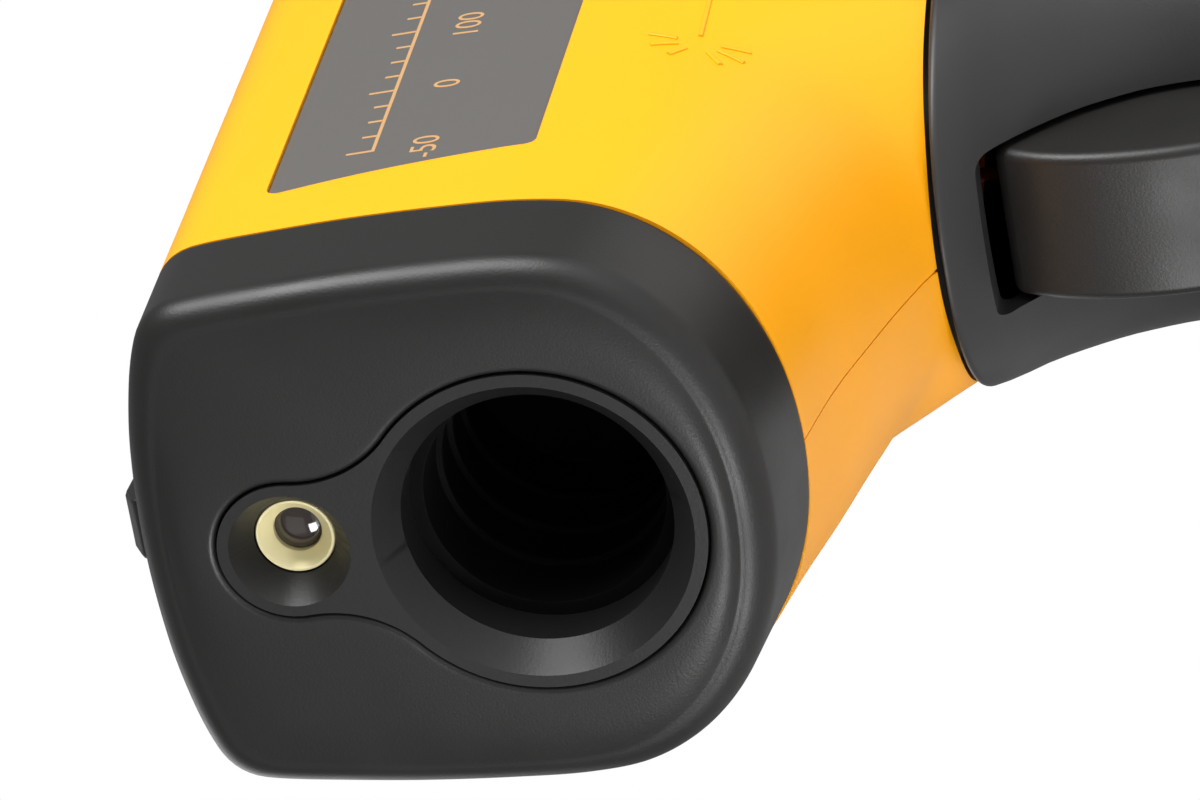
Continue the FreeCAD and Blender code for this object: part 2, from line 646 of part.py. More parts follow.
def make_battery_tray():
    top = CELL_BOTTOM + CELL_LENGTH
    floor = CELL_BOTTOM - 3.6
    tray = box(-TRAY_HALF, TRAY_FRONT, floor, TRAY_HALF, TRAY_BACK, top + 2.4)
    tray = tray.cut(box(-TRAY_HALF + TRAY_WALL, 0, floor + TRAY_WALL,
                        TRAY_HALF - TRAY_WALL, TRAY_BACK - TRAY_WALL, top + 1.0))
    save("battery_tray", placed(tray, HANDLE))
    plates = []
    springs = []
    for side, name in ((-1, "left"), (1, "right")):
        x = side * CELL_X
        turned = side > 0
        can_low = CELL_BOTTOM + (0 if turned else 1.0)
        can_high = top - (1.0 if turned else 0)
        cell = rod(CELL_R, (x, CELL_Y, can_low), (x, CELL_Y, can_high))
        cell = cell.makeFillet(0.5, cell.Edges[:1] + cell.Edges[2:3])
        nub_from = can_high if turned else can_low
        nub_to = top if turned else CELL_BOTTOM
        cell = cell.fuse(rod(1.9, (x, CELL_Y, nub_from), (x, CELL_Y, nub_to)))
        save("battery_" + name, placed(cell, HANDLE))
        plate_z = floor + TRAY_WALL
        plates.append(box(x - 4, CELL_Y - 4, plate_z, x + 4, CELL_Y + 4, plate_z + 0.3))
        low = plate_z + 0.3
        leaf = profile_along_x([(CELL_Y - 3.4, low), (CELL_Y - 2.4, low), (CELL_Y + 1.0, low + 1.5),
                                (CELL_Y + 3.2, low + 0.9), (CELL_Y + 3.2, low + 1.2),
                                (CELL_Y + 1.0, low + 1.85), (CELL_Y - 3.4, low + 0.3)], 2.2)
        leaf.translate(V(x, 0, 0))
        springs.append(leaf)
    save("battery_contacts", placed(Part.makeCompound(plates), HANDLE))
    save("battery_springs", placed(Part.makeCompound(springs), HANDLE))
    bridge = box(-CELL_X - 4, CELL_Y - 4, top + 0.6, CELL_X + 4, CELL_Y + 4, top + 1.0)
    bridge = bridge.cut(box(-0.6, CELL_Y - 2, top, 0.6, CELL_Y + 2, top + 2))
    save("battery_bridge", placed(bridge, HANDLE))


def spring(x, y, z0, z1, radius, wire_r, turns):
    """A coil spring along z between two heights, its wire kept clear of both."""
    height = z1 - z0 - 2 * wire_r - 0.1
    helix = Part.makeHelix(height / turns, height, radius)
    section = Part.Wire([Part.makeCircle(wire_r, V(radius, 0, 0), V(0, 1, 0))])
    coil = Part.Wire(helix.Edges).makePipeShell([section], True, True)
    coil.translate(V(x, y, z0 + wire_r + 0.05))
    return coil


# Trigger ----------------------------------------------------------------------------------

def make_trigger():
    py, pz = TRIGGER_PIVOT
    face = [(42.4, -29.9), (40.7, -33.5), (39.8, -38), (39.8, -43.5), (41.0, -49.5),
            (43.4, -55.0), (46.4, -59.4)]
    front = curve([V(-TRIGGER_HALF, y, z) for y, z in face])
    back = [(46.4, -59.4), (50.0, -59.4), (55.5, -54.0), (55.5, -46.5), (58.5, -44.0),
            (58.5, -33.0), (56.0, -29.9), (42.4, -29.9)]
    rear = Part.makePolygon([V(-TRIGGER_HALF, y, z) for y, z in back])
    blade = Part.Face(Part.Wire([front] + rear.Edges)).extrude(V(2 * TRIGGER_HALF, 0, 0))
    edges = [e for e in blade.Edges
             if e.BoundBox.YMax < 46.5 and e.BoundBox.XLength < 0.01 and e.Length > 20]
    blade = blade.makeChamfer(1.1, edges)
    blade = blade.cut(rod(PIN_R + RUNNING, (-FAR, py, pz), (FAR, py, pz)))
    save("trigger", blade)
    save("trigger_pin", rod(PIN_R, (-9.6, py, pz), (9.6, py, pz)))

    cheek = [(51.8, -29.2), (68, -29.2), (68, -57), (57.0, -57), (55.4, -45), (51.8, -38)]
    bracket = profile_along_x(cheek, 8.9)
    bracket = bracket.cut(box(-7.4, 0, -70, 7.4, 66.4, 0))
    bracket = bracket.cut(rod(PIN_R + 0.02, (-FAR, py, pz), (FAR, py, pz)))
    save("trigger_bracket", bracket)

    switch = box(-3, 61.2, -45, 3, 66.4, -36)
    switch = switch.cut(rod(1.15, (0, 60, -40), (0, 65.2, -40)))
    save("trigger_switch", switch)
    save("switch_plunger", rod(0.9, (0, 58.65, -40), (0, 63.2, -40)))
    coil = spring(0, 0, 55.55, 66.35, 2.0, 0.35, 6)
    coil.rotate(V(0, 0, 0), V(1, 0, 0), -90)
    coil.translate(V(0, 0, -50.2))
    save("trigger_spring", coil)


# Leads and trim ---------------------------------------------------------------------------

def lead(points, r):
    """A wire along straight runs joined by tangent arcs as large as the runs allow."""
    vectors = [V(*p) for p in points]
    edges = []
    start = vectors[0]
    for before, corner, after in zip(vectors, vectors[1:], vectors[2:]):
        a = before - corner
        b = after - corner
        reach = 0.45 * min(a.Length, b.Length)
        a.normalize()
        b.normalize()
        turn = math.pi - a.getAngle(b)
        radius = reach / math.tan(turn / 2)
        middle = a + b
        middle.normalize()
        enter = corner + a * reach
        leave = corner + b * reach
        bulge = corner + middle * (math.hypot(reach, radius) - radius)
        edges.append(Part.makeLine(start, enter))
        edges.append(Part.Arc(enter, bulge, leave).toShape())
        start = leave
    edges.append(Part.makeLine(start, vectors[-1]))
    path = Part.Wire(edges)
    heading = vectors[1] - vectors[0]
    section = Part.Wire([Part.makeCircle(r, vectors[0], heading)])
    return path.makePipeShell([section], True, True)


def make_leads():
    laser = []
    battery = []
    for side in (-1, 1):
        laser.append(lead([(side * 1.6, 14.0, 18.0), (side * 2.0, 22, 18.0), (side * 6, 34, 20.5),
                           (side * 8, 50, 16), (side * 8, 60, 14), (side * 8.2, 70.8, 13.6)], 0.5))
        battery.append(lead([(side * 10, 74.5, -72), (side * 10, 74.5, -60), (side * 11, 72.5, -48),
                             (side * 11, 73, -34), (side * 11, 75, -20), (side * 11, 77.2, -8)], 0.6))
    save("laser_leads", Part.makeCompound(laser))
    save("battery_leads", Part.makeCompound(battery))
    ribbon = []
    for x in range(-3, 4):
        ribbon.append(lead([(x, BOARD_DEPTH + 1.6, 4), (x, 48, 4), (x, 56, 7), (x, 64, 9.5),
                            (x, 72, 9.8)], 0.4))
    save("sensor_leads", Part.makeCompound(ribbon))


def make_sight():
    """Small ridge on the cap's crown, for aiming."""
    side = [(2.8, CROWN), (2.8, CROWN + 1.0), (4.6, CROWN + 1.9), (7.8, CROWN + 1.7),
            (8.6, CROWN)]
    ridge = profile_along_x(side, 2.6)
    tops = [e for e in ridge.Edges if e.BoundBox.XLength < 0.01 and e.BoundBox.ZMin > CROWN + 0.5]
    ridge = ridge.makeChamfer(0.6, tops)
    save("front_sight", ridge)


os.makedirs("parts", exist_ok=True)
make_shells()
make_nose()
make_optics()
make_laser()
make_display()
make_grip()
make_battery_tray()
make_trigger()
make_leads()
make_sight()
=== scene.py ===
"""Looks of the handheld infrared thermometer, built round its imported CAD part.

Pieces are drawn in the sensor's frame in millimetres: x across, y back from the rim of the
sensor's aperture, z up from the infrared axis. at() puts a point into the part's own frame.
"""
import bpy
import math
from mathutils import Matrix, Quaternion, Vector


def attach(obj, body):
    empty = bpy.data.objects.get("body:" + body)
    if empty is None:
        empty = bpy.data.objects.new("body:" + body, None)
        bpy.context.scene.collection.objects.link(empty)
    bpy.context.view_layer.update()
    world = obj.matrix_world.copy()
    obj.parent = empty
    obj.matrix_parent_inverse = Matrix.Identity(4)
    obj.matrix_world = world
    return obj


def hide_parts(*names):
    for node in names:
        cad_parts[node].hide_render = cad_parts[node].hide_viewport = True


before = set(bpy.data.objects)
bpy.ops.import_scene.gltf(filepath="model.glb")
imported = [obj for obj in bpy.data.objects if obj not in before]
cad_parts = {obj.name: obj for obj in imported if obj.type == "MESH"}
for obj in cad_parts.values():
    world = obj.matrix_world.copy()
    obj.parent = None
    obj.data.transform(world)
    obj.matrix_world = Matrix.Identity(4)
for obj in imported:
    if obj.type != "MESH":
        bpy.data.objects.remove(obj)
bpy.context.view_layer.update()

# Body shells ------------------------------------------------------------------------------
# Two injection moulded halves in yellow ABS, screwed together from the left side. Their walls
# are 2.2 mm thick, with soft edges at the parting line, at the nose and at the neck.

AXIS_HEIGHT = 121.0        # infrared axis above the flat base
BASE_DEPTH = 80.2          # middle of the base behind the aperture's rim
HALF_WIDTH = 21.2
CROWN = 29.4
SHOULDER = -0.8            # height where the side turns into the belly
WALL = 2.2
CAP_END = 9.0              # back edge of the nose cap
NECK = -25.5
PARTING = 0.06             # half of the groove between the two shells
# Height of the belly's lowest line at some depths.
BELLY = [(8, (-18.4,)), (16.6, (-19.9,)), (23.5, (-21.7,)), (29.7, (-23.5,)), (35, (-25.4,)),
         (38.5, (-27.6,)), (44, (-33.5,)), (52, (-41,)), (62, (-45,)), (72, (-42,)), (79, (-35,)),
         (85, (-27,)), (91, (-19,)), (98, (-12,))]
# Exponent of the belly's curve at some depths; 2 is an ellipse and more is squarer.
ROUNDING = [(8, (2.15,)), (20, (2.3,)), (30, (2.2,)), (38, (2.05,)), (46, (2.0,)), (54, (2.03,)),
            (62, (2.15,)), (75, (2.5,)), (86, (2.6,)), (98, (2.6,))]
DISPLAY_TILT = math.radians(18)
DISPLAY_DEPTH = 85.0
DISPLAY_HEIGHT = 7.5
SCREWS = [(31.0, -16.4), (47.0, -19.0), (71.0, -20.0)]
WELL_R = 2.6               # wells of the screw heads, on the left side only
WELL_BOTTOM = 12.0
WELL_DEPTH = 12.0


def at(x, y, z):
    """A point of the sensor's frame, in millimetres, in the part's frame, in metres."""
    return Vector((x, y - BASE_DEPTH, z + AXIS_HEIGHT)) / 1000


def along(table, place):
    """The values of a table at one place, on a smooth curve through its rows."""
    places = [row[0] for row in table]
    i = min(max(sum(1 for p in places if p <= place) - 1, 0), len(table) - 2)
    step = places[i + 1] - places[i]
    s = (place - places[i]) / step
    values = []
    for k in range(len(table[0][1])):
        slopes = []
        for j in (i, i + 1):
            low = max(j - 1, 0)
            high = min(j + 1, len(table) - 1)
            slopes.append((table[high][1][k] - table[low][1][k]) / (places[high] - places[low]))
        values.append(table[i][1][k] * (2 * s ** 3 - 3 * s ** 2 + 1)
                      + slopes[0] * step * (s ** 3 - 2 * s ** 2 + s)
                      + table[i + 1][1][k] * (3 * s ** 2 - 2 * s ** 3)
                      + slopes[1] * step * (s ** 3 - s ** 2))
    return values


def evenly(start, end, count):
    return [start + (end - start) * i / count for i in range(count + 1)]


def half_outline(belly, rounding, count, lowest=-60.0):
    """Right half of the body's section, from the belly's middle or the lowest height up."""
    points = []
    for step in range(7):
        a = math.radians(15 * step)
        points.append((HALF_WIDTH * math.sin(a) ** (2 / rounding),
                       SHOULDER - (SHOULDER - belly) * math.cos(a) ** (2 / rounding)))
    w = HALF_WIDTH
    points += [(w, 5.0), (w - 0.3, 12.0), (w - 0.85, 18.5), (w - 1.3, 22.6), (w - 1.75, 24.6),
               (w - 2.7, 26.0), (w - 4.3, 27.0), (w - 8, 28.1), (w - 13.5, 29.0), (0, CROWN)]
    points = [(-points[1][0], points[1][1])] + points + [(-points[-2][0], points[-2][1])]
    table = [(0.0, points[0])]
    for before, after in zip(points, points[1:]):
        table.append((table[-1][0] + math.dist(before, after), after))
    start = table[1][0]
    end = table[-2][0]
    above = table[8][0]
    while belly < lowest and above - start > 1e-4:
        middle = (start + above) / 2
        if along(table, middle)[1] < lowest:
            start = middle
        else:
            above = middle
    return [along(table, start + (end - start) * i / count) for i in range(count + 1)]


def select_only(*pieces):
    bpy.ops.object.select_all(action="DESELECT")
    for piece in pieces:
        piece.select_set(True)
    bpy.context.view_layer.objects.active = pieces[0]


def in_edit(piece, *steps):
    """Run edit-mode steps on the whole of one piece."""
    select_only(piece)
    bpy.ops.object.mode_set(mode="EDIT")
    bpy.ops.mesh.select_all(action="SELECT")
    for step in steps:
        step()
    bpy.ops.object.mode_set(mode="OBJECT")


def weld(piece):
    in_edit(piece, lambda: bpy.ops.mesh.remove_doubles(threshold=1e-6),
            lambda: bpy.ops.mesh.normals_make_consistent(inside=False))


def close_ends(piece):
    """Fill the open ends of a tube."""
    in_edit(piece, lambda: bpy.ops.mesh.select_all(action="DESELECT"),
            lambda: bpy.ops.mesh.select_non_manifold(),
            lambda: bpy.ops.mesh.edge_face_add(),
            lambda: bpy.ops.mesh.select_all(action="SELECT"),
            lambda: bpy.ops.mesh.normals_make_consistent(inside=False))


def skin(name, rings):
    """A surface through rings of points; rings or ends that meet are joined."""
    rows = len(rings) - 1
    columns = len(rings[0]) - 1
    bpy.ops.object.select_all(action="DESELECT")
    bpy.ops.mesh.primitive_grid_add(x_subdivisions=columns, y_subdivisions=rows, size=2)
    piece = bpy.context.object
    piece.name = name
    for corner in piece.data.vertices:
        row = round((corner.co.y + 1) / 2 * rows)
        column = round((corner.co.x + 1) / 2 * columns)
        corner.co = at(*rings[row][column])
    weld(piece)
    return piece


def applied(piece, kind, **settings):
    """Add one modifier, set it up and apply it."""
    select_only(piece)
    modifier = piece.modifiers.new(kind.lower(), kind)
    for key, value in settings.items():
        setattr(modifier, key, value)
    bpy.ops.object.modifier_apply(modifier=modifier.name)


def soften(piece, width, segments=3, angle=35):
    """Round every sharp edge and shade the piece so that its flats stay flat."""
    if width:
        applied(piece, "BEVEL", width=width / 1000, segments=segments, limit_method="ANGLE",
                angle_limit=math.radians(angle), use_clamp_overlap=True)
    select_only(piece)
    bpy.ops.object.shade_smooth_by_angle(angle=math.radians(40))
    applied(piece, "WEIGHTED_NORMAL", keep_sharp=True, weight=60)


def cut(piece, cutter, operation="DIFFERENCE"):
    """Boolean of two solids; the cutter is used up."""
    applied(piece, "BOOLEAN", operation=operation, object=cutter, solver="EXACT")
    bpy.data.objects.remove(cutter, do_unlink=True)


def slice_off(piece, point, normal):
    """Remove what lies on the side that the normal points to, and close the cut."""
    co = at(*point)
    in_edit(piece, lambda: bpy.ops.mesh.bisect(plane_co=co, plane_no=normal, use_fill=True,
                                               clear_outer=True, threshold=1e-7))


def prism(name, outline, x0, x1):
    """A side outline in y and z, extruded across from x0 to x1."""
    bpy.ops.object.select_all(action="DESELECT")
    bpy.ops.mesh.primitive_circle_add(vertices=len(outline), fill_type="NGON")
    piece = bpy.context.object
    piece.name = name
    for corner, (y, z) in zip(piece.data.vertices, outline):
        corner.co = at(x0, y, z)
    sweep = {"value": ((x1 - x0) / 1000, 0, 0)}
    in_edit(piece, lambda: bpy.ops.mesh.extrude_region_move(TRANSFORM_OT_translate=sweep),
            lambda: bpy.ops.mesh.select_all(action="SELECT"),
            lambda: bpy.ops.mesh.normals_make_consistent(inside=False))
    return piece


def rounded(corners, radius, steps=8):
    """A polygon whose corners are rounded."""
    outline = []
    for i, corner in enumerate(corners):
        here = Vector(corner)
        before = (Vector(corners[i - 1]) - here).normalized()
        after = (Vector(corners[(i + 1) % len(corners)]) - here).normalized()
        half = before.angle(after) / 2
        middle = here + (before + after).normalized() * radius / math.sin(half)
        start = here + before * radius / math.tan(half) - middle
        end = here + after * radius / math.tan(half) - middle
        for share in evenly(0, 1, steps):
            spoke = start.slerp(end, share)
            outline.append(tuple(middle + spoke))
    return outline


def twin(piece, name):
    """The mirror image of a piece across the middle plane."""
    select_only(piece)
    bpy.ops.object.duplicate()
    other = bpy.context.object
    other.name = name
    in_edit(other, lambda: bpy.ops.transform.resize(value=(-1, 1, 1), center_override=(0, 0, 0)),
            lambda: bpy.ops.mesh.normals_make_consistent(inside=False))
    return other


def done(piece, node, look, body="root"):
    """Give a finished piece its material and its body, and hide the CAD node that it stands for.
    """
    piece.data.materials.clear()
    piece.data.materials.append(look)
    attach(piece, body)
    if node:
        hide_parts(node)


def add(tree, kind, **inputs):
    node = tree.nodes.new(kind)
    for key, value in inputs.items():
        node.inputs[key.replace("_", " ")].default_value = value
    return node


def make_grain():
    """Shared surface of moulded plastic: fine spark-eroded grain and a faint wear mottle."""
    group = bpy.data.node_groups.new("moulded_grain", "ShaderNodeTree")
    for name, value in (("Grain", 0.02), ("Low", 0.35), ("High", 0.5), ("Scale", 1.0)):
        socket = group.interface.new_socket(name, in_out="INPUT", socket_type="NodeSocketFloat")
        socket.default_value = value
    group.interface.new_socket("Roughness", in_out="OUTPUT", socket_type="NodeSocketFloat")
    group.interface.new_socket("Normal", in_out="OUTPUT", socket_type="NodeSocketVector")
    inside = group.nodes.new("NodeGroupInput")
    outside = group.nodes.new("NodeGroupOutput")
    place = group.nodes.new("ShaderNodeTexCoord")
    fine = add(group, "ShaderNodeTexNoise", Scale=5200.0, Detail=2.0)
    wide = add(group, "ShaderNodeTexNoise", Scale=90.0, Detail=4.0)
    spread = group.nodes.new("ShaderNodeMapRange")
    bump = add(group, "ShaderNodeBump", Distance=0.0001)
    scaled = group.nodes.new("ShaderNodeVectorMath")
    scaled.operation = "SCALE"
    link = group.links.new
    link(place.outputs["Object"], scaled.inputs[0])
    link(inside.outputs["Scale"], scaled.inputs["Scale"])
    link(scaled.outputs[0], fine.inputs["Vector"])
    link(scaled.outputs[0], wide.inputs["Vector"])
    link(wide.outputs["Fac"], spread.inputs["Value"])
    spread.inputs["From Min"].default_value = 0.3
    spread.inputs["From Max"].default_value = 0.7
    link(inside.outputs["Low"], spread.inputs["To Min"])
    link(inside.outputs["High"], spread.inputs["To Max"])
    link(spread.outputs["Result"], outside.inputs["Roughness"])
    link(fine.outputs["Fac"], bump.inputs["Height"])
    link(inside.outputs["Grain"], bump.inputs["Strength"])
    link(bump.outputs["Normal"], outside.inputs["Normal"])
    return group


GRAIN = make_grain()


def plastic(name, colour, low, high, grain=0.1, scale=1.0, **more):
    """A moulded surface; more sets further inputs of its Principled shader."""
    look = bpy.data.materials.new(name)
    look.use_nodes = True
    tree = look.node_tree
    shader = tree.nodes["Principled BSDF"]
    shader.inputs["Base Color"].default_value = (*colour, 1)
    for key, value in more.items():
        shader.inputs[key.replace("_", " ")].default_value = value
    surface = tree.nodes.new("ShaderNodeGroup")
    surface.node_tree = GRAIN
    for key, value in (("Grain", grain), ("Low", low), ("High", high), ("Scale", scale)):
        surface.inputs[key].default_value = value
    tree.links.new(surface.outputs["Roughness"], shader.inputs["Roughness"])
    tree.links.new(surface.outputs["Normal"], shader.inputs["Normal"])
    return look


YELLOW = plastic("yellow_abs", (1.0, 0.40, 0.002), 0.36, 0.46, grain=0.06,
                 Specular_IOR_Level=0.4)


def side_x(z, inset=0.0):
    """How far out the body's side is at a height above the shoulder."""
    w = HALF_WIDTH
    table = [(-10, (w,)), (-1, (w,)), (5, (w,)), (12, (w - 0.3,)), (18.5, (w - 0.85,)),
             (22.6, (w - 1.3,))]
    return along(table, z)[0] - inset


LABEL = [(13.9, 20.5), (17.5, -1.7), (66.0, -1.7), (70.0, 20.5)]
LABEL_R = 2.2
LABEL_DEPTH = 0.25
LABEL_THICK = 0.4
LABEL_BLANK = (11, 73)     # depths of the film's ends before it is cut to its outline


def label_solid(name, outer, inner, grow):
    """The label's outline, with its faces following the body's side at two insets."""
    heights = evenly(-4, 22.4, 28)
    rings = []
    for y in LABEL_BLANK:
        ring = [(side_x(z, outer), y, z) for z in heights]
        ring += [(side_x(z, inner), y, z) for z in reversed(heights)]
        rings.append(ring + ring[:1])
    layer = skin(name, rings)
    close_ends(layer)
    (y0, z0), (y1, z1), (y2, z2), (y3, z3) = LABEL
    corners = [(y0 - grow, z0 + grow), (y1 - grow, z1 - grow),
               (y2 + grow, z2 - grow), (y3 + grow, z3 + grow)]
    cut(layer, prism("outline", rounded(corners, LABEL_R), 10, 30), "INTERSECT")
    return layer


def make_shell():
    """The right shell: outer skin, thickness, trimmed ends and the label's recess."""
    corner = 30.0
    while along(BELLY, corner)[0] > NECK:
        corner += 0.002
    depths = evenly(CAP_END + 0.02, corner, 34)[:-1]
    depths += [corner + (60 - corner) * share ** 2 for share in evenly(0, 1, 30)][:-1]
    depths += evenly(60, 98, 34)
    rings = []
    for depth in depths:
        outline = half_outline(along(BELLY, depth)[0], along(ROUNDING, depth)[0], 90, NECK)
        rings.append([(max(x, PARTING), depth, z) for x, z in outline])
    shell = skin("yellow_shell_right", rings)
    applied(shell, "SOLIDIFY", thickness=WALL / 1000, offset=-1, use_even_offset=True)
    slice_off(shell, (0, DISPLAY_DEPTH, DISPLAY_HEIGHT),
              (0, math.cos(DISPLAY_TILT), math.sin(DISPLAY_TILT)))
    weld(shell)
    cut(shell, label_solid("recess", -1.5, LABEL_DEPTH + LABEL_THICK, 0.1))
    return shell


shell_right = make_shell()
shell_left = twin(shell_right, "yellow_shell_left")
for y, z in SCREWS:
    bpy.ops.object.select_all(action="DESELECT")
    bpy.ops.mesh.primitive_cylinder_add(
        vertices=48, radius=WELL_R / 1000, depth=WELL_DEPTH / 1000,
        location=at(-WELL_BOTTOM - WELL_DEPTH / 2, y, z), rotation=(0, math.pi / 2, 0))
    well = bpy.context.object
    select_only(well)
    bpy.ops.object.transform_apply(location=True, rotation=True, scale=True)
    cut(shell_left, well)
for shell in (shell_right, shell_left):
    soften(shell, 0.14, segments=2, angle=50)
done(shell_right, "body_shell_right", YELLOW)
done(shell_left, "body_shell_left", YELLOW)

# Raised marks -----------------------------------------------------------------------------
# A plain burst of short bars and one long one, moulded with each shell low on its flank.

def flank_x(y, z):
    """How far out the body's flank is at a depth and a height below the shoulder."""
    outline = half_outline(along(BELLY, y)[0], along(ROUNDING, y)[0], 160)
    for (x0, z0), (x1, z1) in zip(outline, outline[1:]):
        if z0 <= z <= z1:
            return x0 + (x1 - x0) * (z - z0) / (z1 - z0)
    return HALF_WIDTH


def raised_bar(start, end, half):
    """A bar 0.16 mm proud between two points of the flank, each a depth and a height."""
    run = Vector((end[0] - start[0], end[1] - start[1]))
    side = Vector((-run.y, run.x)).normalized() * half
    rings = []
    for share in evenly(0, 1, max(int(run.length * 2), 3)):
        middle = Vector(start) + run * share
        ring = []
        for offset, lift in ((side, -0.3), (side, 0.1), (side * 0.6, 0.16), (-side * 0.6, 0.16),
                             (-side, 0.1), (-side, -0.3)):
            y, z = middle + offset
            ring.append((flank_x(y, z) + lift, y, z))
        rings.append(ring + ring[:1])
    bar = skin("raised_bar", rings)
    close_ends(bar)
    return bar


BURST = Vector((36.4, -10.2))
BURST_IN = 1.3
BURST_OUT = 3.0
STRETCH = 1.25             # the burst is wider up the flank than along it

bars = [raised_bar((37.5, BURST.y), (49, BURST.y), 0.16)]
for turn in (-100, -65, -30, 30, 65, 100):
    a = math.radians(turn)
    ray = Vector((-math.cos(a), math.sin(a) * STRETCH))
    bars.append(raised_bar(BURST + ray * BURST_IN, BURST + ray * BURST_OUT, 0.2))
select_only(*bars)
bpy.ops.object.join()
marks_right = bpy.context.object
marks_right.name = "raised_marks_right"
marks_left = twin(marks_right, "raised_marks_left")
for marks in (marks_right, marks_left):
    soften(marks, 0)
    done(marks, None, YELLOW)

# Side labels ------------------------------------------------------------------------------
# A die-cut satin film in a shallow recess on each side, printed with a plain temperature
# scale in dull gold: a ruled row and a row of numerals.

FILM = plastic("label_film", (0.105, 0.100, 0.094), 0.32, 0.42, grain=0.05)
GOLD_PRINT = plastic("gold_print", (0.50, 0.29, 0.13), 0.4, 0.5, grain=0.05)

label_right = label_solid("label_right", LABEL_DEPTH, LABEL_DEPTH + LABEL_THICK, 0)
label_left = twin(label_right, "label_left")
for label in (label_right, label_left):
    soften(label, 0.08, segments=2)
done(label_right, "side_label_right", FILM)
done(label_left, "side_label_left", FILM)

LEFT_START = 83.2          # depth from which the left side's artwork runs forwards


def on_label(piece, side):
    """Lay flat artwork, drawn in x and y, on the label's curved face."""
    for corner in piece.data.vertices:
        y = corner.co.x if side > 0 else LEFT_START - corner.co.x
        z = corner.co.y
        lift = 0.03 if corner.co.z > 0.01 else -0.02
        corner.co = at(side * (side_x(z, LABEL_DEPTH) + lift), y, z)
    in_edit(piece, lambda: bpy.ops.mesh.normals_make_consistent(inside=False))


SCALE_START = 20.6
TICKS = 17
TICK_STEP = 2.6
RULE_HEIGHT = 12.05
FIGURE_HEIGHT = 7.1


def print_scale(side, name):
    """One label's artwork: a rule with ticks, and a figure under every fourth tick."""
    length = TICK_STEP * (TICKS - 1)
    marks = [((SCALE_START + length / 2, RULE_HEIGHT), (length + 0.3, 0.28))]
    for i in range(TICKS):
        tall = 1.9 if i % 4 == 0 else 1.1
        marks.append(((SCALE_START + TICK_STEP * i, RULE_HEIGHT + 0.15 + tall / 2), (0.3, tall)))
    parts = []
    for (x, y), (wide, tall) in marks:
        bpy.ops.mesh.primitive_cube_add(size=1, location=(x, y, 0.02))
        tick = bpy.context.object
        tick.scale = (wide, tall, 0.04)
        parts.append(tick)
    for tick in parts:
        select_only(tick)
        bpy.ops.object.transform_apply(location=True, rotation=True, scale=True)
    for i, words in enumerate(("-50", "0", "100", "200", "300")):
        start = SCALE_START + 4 * TICK_STEP * i if i else SCALE_START - 2.4
        bpy.ops.object.text_add(location=(start, FIGURE_HEIGHT, 0.02))
        text = bpy.context.object
        text.data.body = words
        text.data.size = 2.9
        text.data.extrude = 0.02
        text.data.align_x = "CENTER" if i else "LEFT"
        select_only(text)
        bpy.ops.object.convert(target="MESH")
        bpy.ops.object.transform_apply(location=True, rotation=True, scale=True)
        parts.append(bpy.context.object)
    select_only(*parts)
    bpy.ops.object.join()
    art = bpy.context.object
    art.name = name
    on_label(art, side)
    done(art, None, GOLD_PRINT)


print_scale(1, "scale_print_right")
print_scale(-1, "scale_print_left")

# Nose cap ---------------------------------------------------------------------------------
# A black ABS hood moulded in one piece, with a wide soft front edge and a keyhole-shaped
# pocket for the insert. It snaps over the front of both shells.

FACE = -2.3                # front face of the nose
CAP_BELLY = -16.9          # height of its underside at the face
CAP_DRAFT = 1.7            # how much lower the underside is at the back edge
CAP_ROUND = 2.1            # exponent of its underside's curve
CAP_EDGE = 2.1             # radius of its front edge
CAP_DOME = 0.7             # how far the face falls back towards its edge
CAP_PLATE = 2.6
POCKET_BIG = 12.85
POCKET_SMALL = 5.45
POCKET_EDGE = 0.55
POCKET_GAP = 0.1
NECK_R = 9.0
LASER_HEIGHT = 18.06
HUB = 5.0                  # height of the point that the cap's rings go round
TURNS = 288

BLACK = plastic("black_abs", (0.0125, 0.0118, 0.0113), 0.34, 0.46, grain=0.16,
                Specular_IOR_Level=0.4)


def cap_ring(depth, inset):
    """The cap's outline at a depth, by direction from the hub."""
    belly = CAP_BELLY - CAP_DRAFT * (depth - FACE) / (CAP_END - FACE)
    middle = (CROWN + belly) / 2
    narrow = 1 - inset / HALF_WIDTH
    low = 1 - inset / (CROWN - middle)
    outline = half_outline(belly, CAP_ROUND, 400)
    points = [(x * narrow, middle + (z - middle) * low) for x, z in outline]
    polar = [(math.atan2(x, HUB - z), math.hypot(x, z - HUB)) for x, z in points]
    ring = []
    i = 0
    for turn in range(TURNS // 2 + 1):
        a = 2 * math.pi * turn / TURNS
        while i < len(polar) - 2 and polar[i + 1][0] < a:
            i += 1
        (a0, r0), (a1, r1) = polar[i], polar[i + 1]
        r = r0 + (r1 - r0) * min(max((a - a0) / (a1 - a0), 0), 1)
        ring.append((r * math.sin(a), depth, HUB - r * math.cos(a)))
    return ring + [(-x, y, z) for x, y, z in reversed(ring[:-1])]


